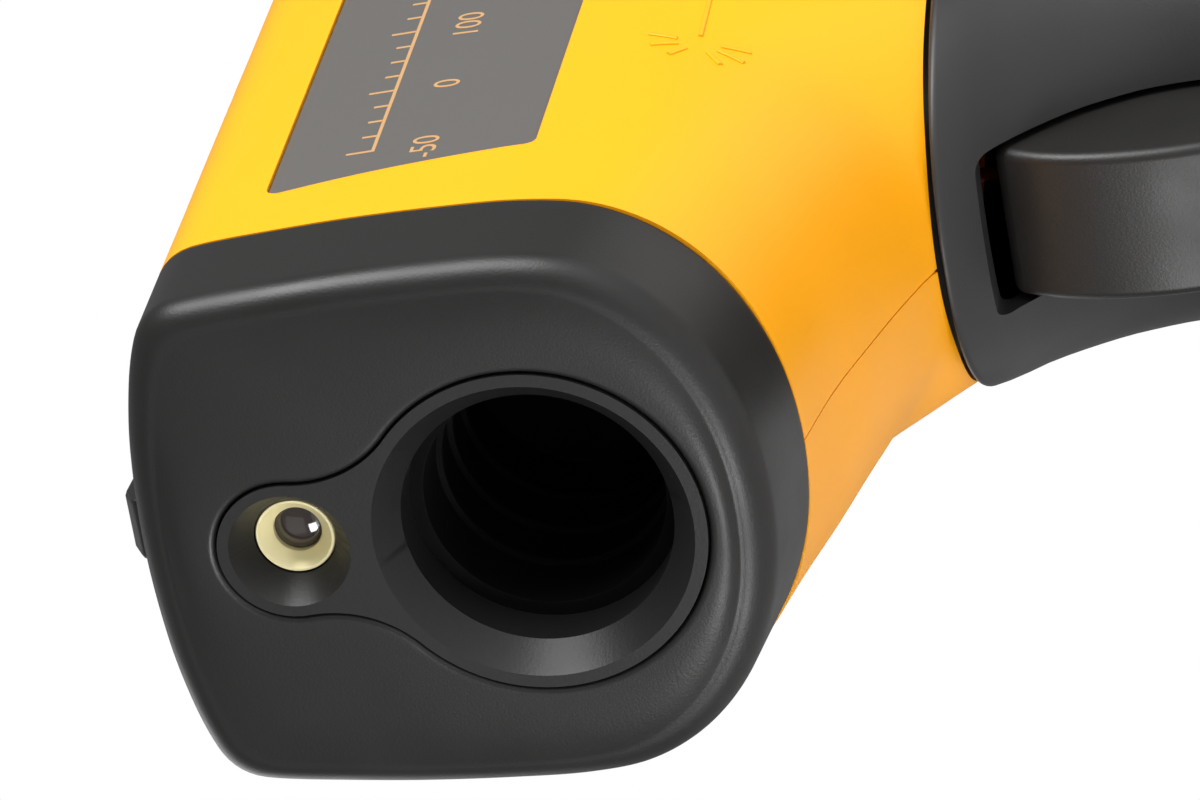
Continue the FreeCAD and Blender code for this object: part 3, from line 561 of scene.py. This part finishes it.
def keyhole_ring(depth, grow):
    """The keyhole's outline, moved outwards by grow, by direction from the hub."""
    big = POCKET_BIG + grow
    small = POCKET_SMALL + grow
    neck = NECK_R - grow
    d = LASER_HEIGHT
    up = ((big + neck) ** 2 - (small + neck) ** 2 + d ** 2) / (2 * d)
    out = math.sqrt((big + neck) ** 2 - up ** 2)
    low = (out * big / (big + neck), up * big / (big + neck))
    high = (out * small / (small + neck), d + (up - d) * small / (small + neck))
    low_turn = math.atan2(low[0], HUB - low[1])
    high_turn = math.atan2(high[0], HUB - high[1])
    ring = []
    for turn in range(TURNS // 2 + 1):
        a = 2 * math.pi * turn / TURNS
        dx = math.sin(a)
        dz = -math.cos(a)
        if a < low_turn:
            centre, radius, sign = (0, 0), big, 1
        elif a < high_turn:
            centre, radius, sign = (out, up), neck, -1
        else:
            centre, radius, sign = (0, d), small, 1
        ox = -centre[0]
        oz = HUB - centre[1]
        b = ox * dx + oz * dz
        c = ox ** 2 + oz ** 2 - radius ** 2
        r = -b + sign * math.sqrt(max(b * b - c, 0))
        ring.append((r * dx, depth, HUB + r * dz))
    return ring + [(-x, y, z) for x, y, z in reversed(ring[:-1])]


def between(ring_a, ring_b, share):
    return [tuple(p + (q - p) * share for p, q in zip(a, b)) for a, b in zip(ring_a, ring_b)]


rings = [cap_ring(CAP_END, 0.25), cap_ring(CAP_END - 0.08, 0.08), cap_ring(CAP_END - 0.25, 0)]
corner = FACE + CAP_DOME
rings += [cap_ring(depth, 0) for depth in evenly(CAP_END - 0.6, corner + CAP_EDGE + 0.3, 6)]
for turn in evenly(90, 0, 14):
    a = math.radians(turn)
    rings.append(cap_ring(corner + CAP_EDGE * (1 - math.cos(a)), CAP_EDGE * (1 - math.sin(a))))
edge_ring = cap_ring(FACE, CAP_EDGE)
pocket_ring = keyhole_ring(FACE, POCKET_EDGE)
for share in (0.03, 0.1, 0.2, 0.3, 0.4, 0.55, 0.7, 0.85, 0.97):
    fall = CAP_DOME * (1 - share) ** 3
    rings.append([(x, y + fall, z) for x, y, z in between(edge_ring, pocket_ring, share)])
for turn in evenly(0, 90, 7):
    a = math.radians(turn)
    rings.append(keyhole_ring(FACE + POCKET_EDGE * (1 - math.cos(a)),
                              POCKET_EDGE * (1 - math.sin(a))))
rings.append(keyhole_ring(FACE + CAP_PLATE, 0))
rings.append(cap_ring(FACE + CAP_PLATE, WALL))
rings.append(cap_ring(CAP_END, WALL))
rings.append(rings[0])
cap = skin("nose_hood", rings)
select_only(cap)
bpy.ops.object.shade_smooth_by_angle(angle=math.radians(50))
done(cap, "nose_cap", BLACK)

# Nose insert ------------------------------------------------------------------------------
# A glossier black moulding pressed into the keyhole pocket. It carries the bevelled aperture,
# its tube and the dished hole of the laser.

BEVEL_R = 11.8
RIM_R = 10.0
STEP_R = 8.9
STEP_DEPTH = 3.6
BARREL_R = 11.0
LASER_R = 3.0
DISH_R = 4.5
TUBE_R = BARREL_R + 1.3
TUBE_END = 7.5
BOSS_R = POCKET_SMALL - 1.1
BOSS_END = 5.0

GLOSS = plastic("gloss_abs", (0.013, 0.0128, 0.0125), 0.34, 0.46, grain=0.14, scale=0.7,
                Specular_IOR_Level=0.35)


def lathe(name, profile, height=0.0, segments=96):
    """A turned piece about an axis along y; the profile holds radius and depth."""
    rings = []
    for radius, y in profile:
        turns = [2 * math.pi * i / segments for i in range(segments + 1)]
        rings.append([(radius * math.sin(a), y, height + radius * math.cos(a)) for a in turns])
    return skin(name, rings)


rings = [[(0, FACE, HUB)] * (TURNS + 1), keyhole_ring(FACE, -POCKET_GAP),
         keyhole_ring(FACE + CAP_PLATE, -POCKET_GAP), [(0, FACE + CAP_PLATE, HUB)] * (TURNS + 1)]
insert = skin("keyhole_insert", rings)
tube = lathe("tube", [(0, 0), (TUBE_R, 0), (TUBE_R, TUBE_END), (0, TUBE_END)], segments=144)
cut(insert, tube, "UNION")
boss = lathe("boss", [(0, 0), (BOSS_R, 0), (BOSS_R, BOSS_END), (0, BOSS_END)], LASER_HEIGHT)
cut(insert, boss, "UNION")
slope = (BEVEL_R - RIM_R) / -FACE
opening = [(0, FACE - 1), (BEVEL_R + slope, FACE - 1), (RIM_R, 0), (RIM_R, STEP_DEPTH),
           (BARREL_R + 0.05, STEP_DEPTH), (BARREL_R + 0.05, 10), (0, 10)]
cut(insert, lathe("opening", opening, segments=144))
slope = (DISH_R - LASER_R) / -FACE
dish = [(0, FACE - 1), (DISH_R + slope, FACE - 1), (LASER_R + 0.05, 0), (LASER_R + 0.05, 9),
        (0, 9)]
cut(insert, lathe("dish", dish, LASER_HEIGHT))
in_edit(insert, lambda: bpy.ops.mesh.dissolve_limited(angle_limit=math.radians(0.2)))
soften(insert, 0.42, segments=5, angle=28)
done(insert, "nose_insert", GLOSS)

# Optics barrel ----------------------------------------------------------------------------
# A turned black tube behind the aperture's step, with three thin baffles that keep stray
# light off the infrared lens at its back.

DEEP = plastic("deep_black", (0.0018, 0.0018, 0.0018), 0.75, 0.85, grain=0.1,
               Specular_IOR_Level=0.12)

BAFFLES = (9.0, 14.0, 19.0)
BAFFLE_R = STEP_R - 0.5
BAFFLE_THICK = 0.6
LEDGE = 25.6               # the infrared lens seats on this ledge
LEDGE_END = 27.0
LEDGE_R = 7.6
BARREL_END = 32.0

profile = [(STEP_R, STEP_DEPTH)]
for baffle in BAFFLES:
    profile += [(STEP_R, baffle), (BAFFLE_R, baffle), (BAFFLE_R, baffle + BAFFLE_THICK),
                (STEP_R, baffle + BAFFLE_THICK)]
profile += [(STEP_R, LEDGE), (LEDGE_R, LEDGE), (LEDGE_R, LEDGE_END), (STEP_R, LEDGE_END),
            (STEP_R, BARREL_END), (BARREL_R, BARREL_END), (BARREL_R, STEP_DEPTH),
            (STEP_R, STEP_DEPTH)]
barrel = lathe("lens_barrel", profile, segments=144)
soften(barrel, 0.12, segments=2)
done(barrel, "optics_barrel", DEEP)

INFRARED = plastic("infrared_lens", (0.012, 0.010, 0.011), 0.12, 0.2, grain=0.02)
LENS_R = STEP_R - 0.05
LENS_FRONT = 23.4
LENS_BACK = 25.55
DOME_R = 26.0              # its slightly domed front

profile = [(0, LENS_FRONT)]
for r in evenly(1, LENS_R, 12):
    profile.append((r, LENS_FRONT + DOME_R - math.sqrt(DOME_R ** 2 - r ** 2)))
profile += [(LENS_R, LENS_BACK), (0, LENS_BACK)]
lens = lathe("fresnel_lens", profile, segments=96)
soften(lens, 0.05)
done(lens, "infrared_lens", INFRARED)

# Laser module -----------------------------------------------------------------------------
# The common 6 mm brass barrel with a funnel turned in its front, and a small moulded
# collimating lens seated in it.

BRASS = plastic("turned_brass", (1.0, 0.90, 0.52), 0.34, 0.46, grain=0.05, Metallic=0.25)

MODULE_R = LASER_R - 0.02
MODULE_END = 13.0
MOUTH_R = 1.8              # the hole at the bottom of the funnel

profile = [(0, 6), (MOUTH_R, 6), (MOUTH_R, 1.15), (2.6, 0.2), (2.7, 0.1), (2.88, 0.1),
           (MODULE_R, 0.24), (MODULE_R, MODULE_END), (0, MODULE_END), (0, 6)]
module = lathe("laser_barrel", profile, LASER_HEIGHT)
soften(module, 0)
done(module, "laser_module", BRASS)

CLEAR = plastic("laser_lens", (0.05, 0.038, 0.032), 0.03, 0.06, grain=0.0, Coat_Weight=0.6,
                Transmission_Weight=0.25, IOR=1.52)
BEAD_R = 1.78
BEAD_FRONT = 1.2
BEAD_BACK = 2.6
BEAD_DOME_R = 4.0

profile = [(r, BEAD_FRONT + BEAD_DOME_R - math.sqrt(BEAD_DOME_R ** 2 - r ** 2))
           for r in evenly(0, BEAD_R, 14)]
profile += [(BEAD_R, BEAD_BACK), (0, BEAD_BACK)]
bead = lathe("laser_bead", profile, LASER_HEIGHT, segments=64)
soften(bead, 0)
done(bead, "laser_lens", CLEAR)

# Front sight ------------------------------------------------------------------------------
# A small black ridge on the crown of the cap, for aiming.

SIGHT_HALF = 2.6

side = [(2.8, CROWN - 0.3), (2.8, CROWN + 1.0), (4.6, CROWN + 1.9), (7.8, CROWN + 1.7),
        (8.6, CROWN - 0.3)]
sight = prism("aiming_ridge", side, -SIGHT_HALF, SIGHT_HALF)
soften(sight, 0.5, segments=2)
done(sight, "front_sight", BLACK)

# Grip -------------------------------------------------------------------------------------
# A hollow handle in soft satin black, rubbery to the touch. Its top edge is a rounded lip
# round the neck of the shells, and its front has openings for the trigger and battery door.

GRIP = [(25, (34.0, 86.7, 18.4)), (28, (37.4, 86.3, 18.5)), (30.5, (41.0, 85.9, 18.5)),
        (33.8, (44.6, 85.4, 18.5)), (37, (47.2, 85.2, 18.4)), (42, (49.6, 85.2, 18.2)),
        (50, (50.6, 86.3, 18.0)), (58, (50.8, 87.6, 17.8)), (70, (51.6, 90.0, 17.8)),
        (85, (54.1, 93.2, 18.0)), (100, (56.9, 96.2, 18.2)), (119, (60.8, 99.6, 18.4))]
GRIP_ROUND = [(25, (2.15,)), (34, (2.45,)), (45, (3.0,)), (60, (3.5,)), (119, (3.5,))]
GRIP_WALL = 2.4
GRIP_TOP = 25.9
LIP = 0.7
SLOT_HALF = 7.0            # opening for the trigger
SLOT_BOTTOM = -62.0
SLOT_TOP = -28.6
SLOT_R = 1.2
# The handle's own frame leans with it, with its origin this far behind the rim and below
# the axis. The door's spaces are given in it.
LEAN = math.radians(10.3)
HANDLE_DEPTH = 55.0
HANDLE_HEIGHT = -90.0
DOOR_HALF = 11.3
DOOR_FRONT = -6            # clear of the handle's front
DOOR_BACK = 6.6
DOOR_LOW = -21.3
DOOR_HIGH = 27.3
KNUCKLE_BACK = 3.2
KNUCKLE_LOW = -24.8

SATIN = plastic("grip_satin", (0.019, 0.019, 0.0195), 0.38, 0.5, grain=0.14)


def grip_ring(drop, inset):
    """The grip's section at a depth below the axis, moved inwards by inset."""
    front, back, half = along(GRIP, drop)
    power = 2 / along(GRIP_ROUND, drop)[0]
    middle = (front + back) / 2
    reach = (back - front) / 2 - inset
    ring = []
    for step in range(193):
        a = 2 * math.pi * step / 192 + math.pi
        s = math.sin(a)
        c = math.cos(a)
        x = (half - inset) * math.copysign(abs(s) ** power, s)
        y = middle - reach * math.copysign(abs(c) ** power, c)
        ring.append((x, y, -drop))
    return ring


rings = [grip_ring(GRIP_TOP - 2.4, 4.4), grip_ring(GRIP_TOP - 2.4, 3.0), grip_ring(GRIP_TOP, 2.4)]
for turn in evenly(0, 90, 6):
    a = math.radians(turn)
    rings.append(grip_ring(GRIP_TOP + LIP * (1 - math.cos(a)), LIP * (1 - math.sin(a))))
rings += [grip_ring(drop, 0) for drop in evenly(GRIP_TOP + LIP + 1, 118.8, 70)]
rings += [grip_ring(119, 0.2), grip_ring(119, GRIP_WALL)]
rings += [grip_ring(drop, GRIP_WALL) for drop in evenly(118, GRIP_TOP + 3, 60)]
rings.append(rings[0])
grip = skin("grip_handle", rings)


def block(name, x0, y0, z0, x1, y1, z1):
    """A box in the sensor's frame."""
    return prism(name, [(y0, z0), (y1, z0), (y1, z1), (y0, z1)], x0, x1)


def upright_slot(name, half, bottom, top, y0, y1, radius):
    """A rounded opening seen from the front, reaching from y0 to y1."""
    outline = rounded([(-half, bottom), (half, bottom), (half, top), (-half, top)], radius)
    rings = []
    for y in (y0, y1):
        ring = [(x, y, z) for x, z in outline]
        rings.append(ring + ring[:1])
    piece = skin(name, rings)
    close_ends(piece)
    return piece


cut(grip, upright_slot("slot", SLOT_HALF, SLOT_BOTTOM, SLOT_TOP, 30, 58, SLOT_R))


def in_handle(piece):
    """Lean a piece drawn in the handle's frame and put it in place."""
    select_only(piece)
    pivot = at(0, 0, 0)
    in_edit(piece, lambda: bpy.ops.transform.rotate(value=-LEAN, orient_axis="X",
                                                    center_override=pivot),
            lambda: bpy.ops.transform.translate(value=(0, HANDLE_DEPTH / 1000,
                                                       HANDLE_HEIGHT / 1000)))
    return piece


door_space = block("door_space", -DOOR_HALF, DOOR_FRONT, DOOR_LOW,
                   DOOR_HALF, DOOR_BACK, DOOR_HIGH)
cut(grip, in_handle(door_space))
knuckle_space = block("knuckle_space", -DOOR_HALF, DOOR_FRONT, KNUCKLE_LOW,
                      DOOR_HALF, KNUCKLE_BACK, DOOR_LOW + 0.1)
cut(grip, in_handle(knuckle_space))
select_only(grip)
bpy.ops.object.shade_smooth_by_angle(angle=math.radians(35))
applied(grip, "WEIGHTED_NORMAL", keep_sharp=True, weight=60)
done(grip, "grip_sleeve", SATIN)

# Trigger ----------------------------------------------------------------------------------
# A hollow-faced black lever that turns on a steel pin; its edges are rounded for the finger.

TRIGGER_HALF = 6.2

face = [(0, (42.4, -29.9)), (3.9, (40.7, -33.5)), (8.5, (39.8, -38)), (14, (39.8, -43.5)),
        (20.2, (41.0, -49.5)), (26.2, (43.4, -55.0)), (31.5, (46.4, -59.4))]
outline = [tuple(along(face, place)) for place in evenly(0, 31.5, 36)]
outline += [(50.0, -59.4), (55.5, -54.0), (55.5, -46.5), (58.5, -44.0), (58.5, -33.0),
            (56.0, -29.9)]
trigger = prism("finger_lever", outline, -TRIGGER_HALF, TRIGGER_HALF)
soften(trigger, 1.0, segments=4, angle=30)
done(trigger, "trigger", BLACK, "trigger_body")

# Carried-over pieces ----------------------------------------------------------------------
# The rear display, the handle's door and base, and everything inside keep their CAD shapes
# and take materials of their own.

STEEL = plastic("plated_steel", (0.62, 0.62, 0.63), 0.2, 0.34, grain=0.04, Metallic=1.0)
SPRING = plastic("spring_wire", (0.70, 0.70, 0.70), 0.16, 0.26, grain=0.03, Metallic=1.0)
BOARD = plastic("solder_mask", (0.012, 0.13, 0.05), 0.25, 0.4, grain=0.1)
WHITE = plastic("white_moulding", (0.78, 0.78, 0.76), 0.4, 0.55)
LCD = plastic("lcd_glass", (0.40, 0.47, 0.38), 0.06, 0.14, grain=0.0)
WINDOW = plastic("display_window", (0.8, 0.85, 0.85), 0.02, 0.05, grain=0.0,
                 Transmission_Weight=0.95, IOR=1.3)
RUBBER = plastic("button_rubber", (0.16, 0.16, 0.165), 0.55, 0.7, grain=0.2)
CELL = plastic("cell_sleeve", (0.07, 0.09, 0.11), 0.18, 0.3, grain=0.02)
RED = plastic("red_insulation", (0.42, 0.02, 0.015), 0.4, 0.5)
CHIP = plastic("chip_moulding", (0.02, 0.02, 0.02), 0.5, 0.62)
LOOKS = {"steel": STEEL, "spring_steel": SPRING, "board_green": BOARD, "white_plastic": WHITE,
         "lcd": LCD, "window_clear": WINDOW, "button_grey": RUBBER, "cell_wrap": CELL,
         "wire_red": RED, "chip_black": CHIP, "black_plastic": BLACK, "grip_black": SATIN,
         "infrared_plastic": INFRARED}
KEPT = {
    "steel": ["shell_screws", "thermopile_sensor", "board_screws", "button_switches",
              "door_hinge_pin", "base_screws", "trigger_pin"],
    "spring_steel": ["battery_contacts", "battery_springs", "battery_bridge", "trigger_spring"],
    "board_green": ["sensor_board", "laser_board", "main_board"],
    "white_plastic": ["lcd_backlight", "display_frame"],
    "lcd": ["lcd_glass"],
    "window_clear": ["display_window"],
    "button_grey": ["button_left", "button_middle", "button_right"],
    "cell_wrap": ["battery_left", "battery_right"],
    "wire_red": ["switch_plunger", "laser_leads", "battery_leads", "sensor_leads"],
    "chip_black": ["buzzer", "processor_chip", "trigger_switch"],
    "black_plastic": ["sensor_mount", "laser_holder", "rear_bezel", "board_posts", "base_cap",
                      "battery_tray", "trigger_bracket"],
    "grip_black": ["lcd_contact_strip", "battery_door"],
    "infrared_plastic": ["sensor_filter"],
}
for name, nodes in KEPT.items():
    for node in nodes:
        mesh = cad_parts[node].data
        mesh.materials.clear()
        mesh.materials.append(LOOKS[name])

# Reading ----------------------------------------------------------------------------------
# Dark figures on the display's glass, seen through the window.

FIGURES = 13.0             # height of the text
READING_UP = 8.0           # its middle above the display's own
READING_OUT = -2.17        # its back, just clear of the glass

INK = plastic("display_ink", (0.02, 0.025, 0.02), 0.4, 0.5, grain=0.0)
bpy.ops.object.text_add()
reading = bpy.context.object
reading.name = "display_figures"
reading.data.body = "25.4"
reading.data.size = FIGURES
reading.data.extrude = 0.02
reading.data.align_x = "CENTER"
reading.data.align_y = "CENTER"
select_only(reading)
bpy.ops.object.convert(target="MESH")
lean_cos = math.cos(DISPLAY_TILT)
lean_sin = math.sin(DISPLAY_TILT)
for corner in reading.data.vertices:
    up = corner.co.y + READING_UP
    out = corner.co.z + READING_OUT
    corner.co = at(-corner.co.x, DISPLAY_DEPTH - up * lean_sin + out * lean_cos,
                   DISPLAY_HEIGHT + up * lean_cos + out * lean_sin)
in_edit(reading, lambda: bpy.ops.mesh.normals_make_consistent(inside=False))
done(reading, None, INK)

# Studio -----------------------------------------------------------------------------------
# A round pale table and white surroundings, with one broad key light from the right, two
# fills and a rim light over the crown.

bpy.ops.object.select_all(action="DESELECT")
bpy.ops.mesh.primitive_circle_add(vertices=128, radius=0.5, fill_type="NGON",
                                  location=(0, 0, -0.0005))
floor = bpy.context.object
floor.name = "table_top"
floor.data.materials.append(plastic("pale_table", (0.9, 0.9, 0.9), 0.6, 0.7, scale=0.1))

NOSE = (0.0, -0.06, 0.12)


def lamp(name, location, size, power):
    """A square area light aimed at the nose."""
    bpy.ops.object.light_add(type="AREA", location=location)
    light = bpy.context.object
    light.name = name
    light.data.size = size
    light.data.energy = power
    aim = Vector(NOSE) - Vector(location)
    light.rotation_euler = aim.to_track_quat("-Z", "Y").to_euler()


lamp("key", (0.62, -0.16, 0.30), 0.40, 6.0)
lamp("front_fill", (-0.25, -0.75, 0.35), 0.5, 0.3)
lamp("low_fill", (-0.16, -0.36, 0.03), 0.12, 0.7)
lamp("crown_rim", (-0.45, 0.10, 0.45), 0.4, 1.0)

world = bpy.data.worlds.new("white_room")
bpy.context.scene.world = world
world.use_nodes = True
tree = world.node_tree
seen = add(tree, "ShaderNodeBackground", Color=(1, 1, 1, 1), Strength=1.0)
lit = tree.nodes["Background"]
lit.inputs["Color"].default_value = (1, 1, 1, 1)
lit.inputs["Strength"].default_value = 0.28
rays = tree.nodes.new("ShaderNodeLightPath")
choice = tree.nodes.new("ShaderNodeMixShader")
tree.links.new(rays.outputs["Is Camera Ray"], choice.inputs["Fac"])
tree.links.new(lit.outputs[0], choice.inputs[1])
tree.links.new(seen.outputs[0], choice.inputs[2])
tree.links.new(choice.outputs[0], tree.nodes["World Output"].inputs["Surface"])

bpy.ops.object.camera_add(location=(0.2791, -0.6199, -0.0076))
camera = bpy.context.object
camera.data.lens = 258
camera.data.sensor_width = 36
aim = Vector((0.0068, -0.0757, 0.1159)) - camera.location
roll = Quaternion((0, 0, 1), math.radians(-94.63))
camera.rotation_euler = (aim.to_track_quat("-Z", "Y") @ roll).to_euler()
camera.data.clip_start = 0.01
bpy.context.scene.camera = camera
bpy.context.scene.view_settings.view_transform = "Standard"
